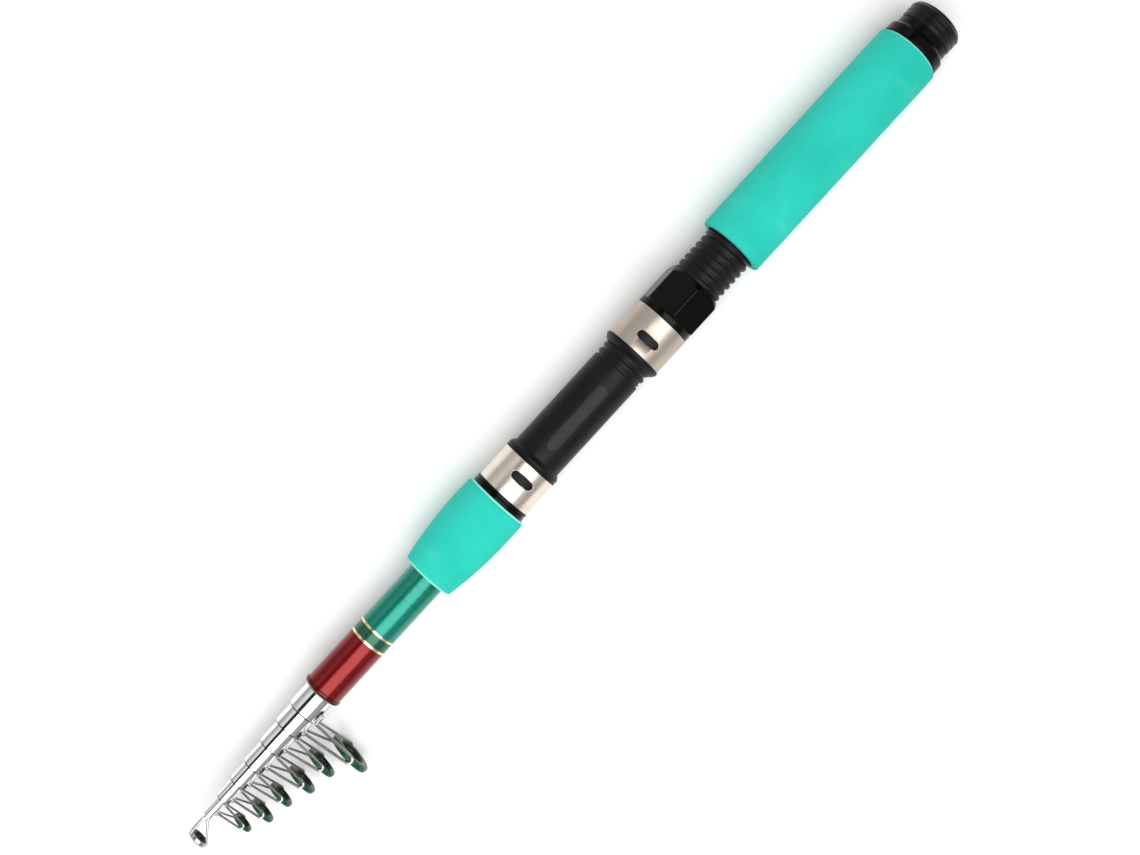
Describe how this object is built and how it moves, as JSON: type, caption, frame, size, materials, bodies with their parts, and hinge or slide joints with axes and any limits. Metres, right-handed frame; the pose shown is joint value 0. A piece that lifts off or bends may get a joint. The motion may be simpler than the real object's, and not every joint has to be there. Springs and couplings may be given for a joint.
{
  "type": "telescopic fishing rod",
  "caption": "Collapsed telescopic spinning rod with foam grips, a screw-down tubular reel seat, sliding sections and swivelling wire guides with ceramic rings.",
  "frame": {"origin": "middle of the reel foot's bed on the underside of the seat; the rod's axis is 8.5 mm above it", "axes": "+X along the rod from butt to tip, -Z out of the bed towards the reel, +Y the side that the guides lie to when the rod is put down"},
  "size_m": [0.4041, 0.0447, 0.027],
  "materials": {
    "black_gloss": "gloss",
    "black_satin": "satin",
    "badge": "satin",
    "rubber": "matte",
    "cushion": "matte",
    "foam": "matte",
    "green_lacquer": "gloss",
    "dark_green_lacquer": "gloss",
    "red_lacquer": "gloss",
    "dark_red_lacquer": "gloss",
    "section_lacquer": "gloss",
    "tip_section": "gloss",
    "gold": "gloss",
    "hood_steel": "satin",
    "chrome": "polished",
    "ring_ceramic": "gloss"
  },
  "bodies": {
    "handle": {"butt_collar": "black_gloss", "rear_grip": "foam", "handle_blank": "green_lacquer", "seat_barrel": "black_satin", "seat_badge": "badge", "fixed_hood_shell": "hood_steel", "fixed_hood_liner": "black_satin", "seat_end_ring": "black_gloss", "fore_grip": "foam", "trim_rings": "gold", "dark_band": "dark_green_lacquer", "red_wrap": "red_lacquer", "mouth_ring": "dark_red_lacquer"},
    "cap_washer": {"cap_washer": "rubber"},
    "butt_cap": {"butt_cap": "black_gloss", "cap_cushion": "cushion"},
    "moving_hood": {"moving_hood_shell": "hood_steel", "moving_hood_liner": "black_satin"},
    "seat_nut": {"seat_nut": "black_gloss"},
    "section_2": {"section_2": "section_lacquer"},
    "guide_1": {"stop_ferrule": "chrome", "guide_collar_1": "chrome", "guide_frame_1": "chrome", "guide_ring_1": "ring_ceramic"},
    "section_3": {"section_3": "section_lacquer"},
    "guide_2": {"guide_collar_2": "chrome", "guide_frame_2": "chrome", "guide_ring_2": "ring_ceramic"},
    "section_4": {"section_4": "section_lacquer"},
    "guide_3": {"guide_collar_3": "chrome", "guide_frame_3": "chrome", "guide_ring_3": "ring_ceramic"},
    "section_5": {"section_5": "section_lacquer"},
    "guide_4": {"guide_collar_4": "chrome", "guide_frame_4": "chrome", "guide_ring_4": "ring_ceramic"},
    "section_6": {"section_6": "section_lacquer"},
    "guide_5": {"guide_collar_5": "chrome", "guide_frame_5": "chrome", "guide_ring_5": "ring_ceramic"},
    "section_7": {"section_7": "section_lacquer"},
    "guide_6": {"guide_collar_6": "chrome", "guide_frame_6": "chrome", "guide_ring_6": "ring_ceramic"},
    "section_8": {"section_8": "tip_section"},
    "tip_top": {"tip_tube": "chrome", "tip_frame": "chrome", "tip_ring": "ring_ceramic"}
  },
  "joints": [
    {"name": "cap_travel", "type": "slide", "parent": "handle", "child": "cap_washer", "axis": [1, 0, 0], "range_m": [-0.009, 0]},
    {"name": "cap_turn", "type": "hinge", "parent": "cap_washer", "child": "butt_cap", "pos_m": [-0.188, 0, 0.0085], "axis": [1, 0, 0], "range_deg": [-2160, 0]},
    {"name": "hood_travel", "type": "slide", "parent": "handle", "child": "moving_hood", "axis": [1, 0, 0], "range_m": [-0.018, 0.024]},
    {"name": "nut_turn", "type": "hinge", "parent": "moving_hood", "child": "seat_nut", "pos_m": [-0.052, 0, 0.0085], "axis": [1, 0, 0], "range_deg": [-2234, 2979]},
    {"name": "draw_2", "type": "slide", "parent": "handle", "child": "section_2", "axis": [1, 0, 0], "range_m": [0, 0.2754]},
    {"name": "swivel_1", "type": "hinge", "parent": "section_2", "child": "guide_1", "pos_m": [0.1577, 0, 0.0085], "axis": [1, 0, 0], "continuous": true},
    {"name": "draw_3", "type": "slide", "parent": "guide_1", "child": "section_3", "axis": [1, 0, 0], "range_m": [0, 0.2843]},
    {"name": "swivel_2", "type": "hinge", "parent": "section_3", "child": "guide_2", "pos_m": [0.1671, 0, 0.0085], "axis": [1, 0, 0], "continuous": true},
    {"name": "draw_4", "type": "slide", "parent": "guide_2", "child": "section_4", "axis": [1, 0, 0], "range_m": [0, 0.2843]},
    {"name": "swivel_3", "type": "hinge", "parent": "section_4", "child": "guide_3", "pos_m": [0.1765, 0, 0.0085], "axis": [1, 0, 0], "continuous": true},
    {"name": "draw_5", "type": "slide", "parent": "guide_3", "child": "section_5", "axis": [1, 0, 0], "range_m": [0, 0.2855]},
    {"name": "swivel_4", "type": "hinge", "parent": "section_5", "child": "guide_4", "pos_m": [0.1847, 0, 0.0085], "axis": [1, 0, 0], "continuous": true},
    {"name": "draw_6", "type": "slide", "parent": "guide_4", "child": "section_6", "axis": [1, 0, 0], "range_m": [0, 0.2857]},
    {"name": "swivel_5", "type": "hinge", "parent": "section_6", "child": "guide_5", "pos_m": [0.1927, 0, 0.0085], "axis": [1, 0, 0], "continuous": true},
    {"name": "draw_7", "type": "slide", "parent": "guide_5", "child": "section_7", "axis": [1, 0, 0], "range_m": [0, 0.2858]},
    {"name": "swivel_6", "type": "hinge", "parent": "section_7", "child": "guide_6", "pos_m": [0.2006, 0, 0.0085], "axis": [1, 0, 0], "continuous": true},
    {"name": "draw_8", "type": "slide", "parent": "guide_6", "child": "section_8", "axis": [1, 0, 0], "range_m": [0, 0.2857]},
    {"name": "swivel_tip", "type": "hinge", "parent": "section_8", "child": "tip_top", "pos_m": [0.2025, 0, 0.0085], "axis": [1, 0, 0], "continuous": true}
  ],
  "couplings": [
    {"joint": "cap_travel", "follows": "cap_turn", "m_per_rad": 0.00023873},
    {"joint": "hood_travel", "follows": "nut_turn", "m_per_rad": 0.00046155}
  ]
}
